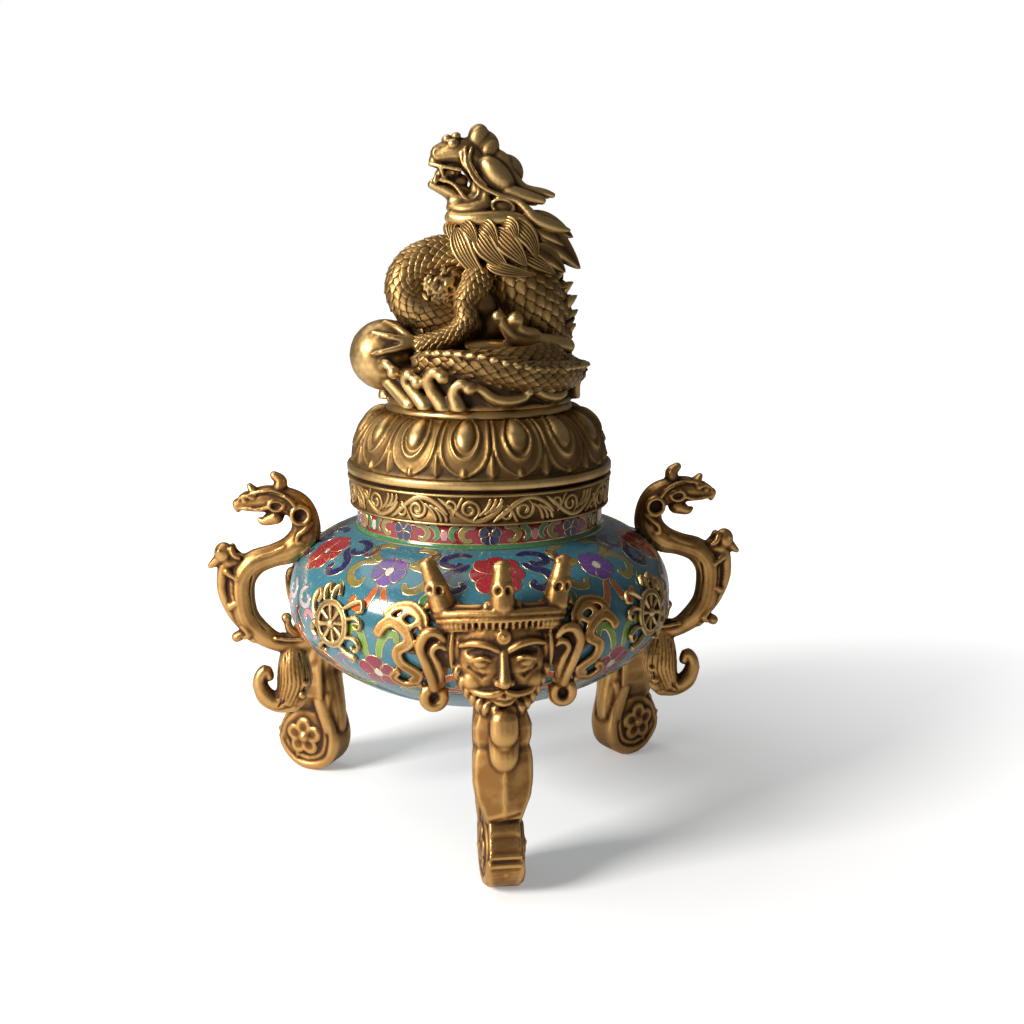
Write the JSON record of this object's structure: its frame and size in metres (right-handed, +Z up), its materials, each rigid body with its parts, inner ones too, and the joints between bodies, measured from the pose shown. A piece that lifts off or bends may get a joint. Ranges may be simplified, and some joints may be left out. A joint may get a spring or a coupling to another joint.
{
  "type": "cloisonne lidded censer",
  "caption": "Tripod incense burner: round enamelled bowl on mask legs, beast handles, brass rim band and lotus lid with a coiled dragon finial.",
  "frame": {"origin": "middle of the whole object's base, on the surface that the feet stand on; the bowl's axis is 6.2 mm behind it", "axes": "+Z up along the bowl's axis, -Y towards the front leg, handles along X, right-handed"},
  "size_m": [0.256, 0.1996, 0.3226],
  "materials": {
    "enamel": "cloisonne enamel, glossy",
    "cast_brass": "aged, rubbed bright on the high places"
  },
  "bodies": {
    "root": {"bowl": "enamel", "rim_band": "cast_brass", "lid": "cast_brass", "dragon_finial": "cast_brass", "leg_front": "cast_brass", "leg_back_left": "cast_brass", "leg_back_right": "cast_brass", "handle_left": "cast_brass", "handle_right": "cast_brass", "wheel_front_left": "cast_brass", "wheel_front_right": "cast_brass", "wheel_back": "cast_brass"}
  },
  "joints": []
}
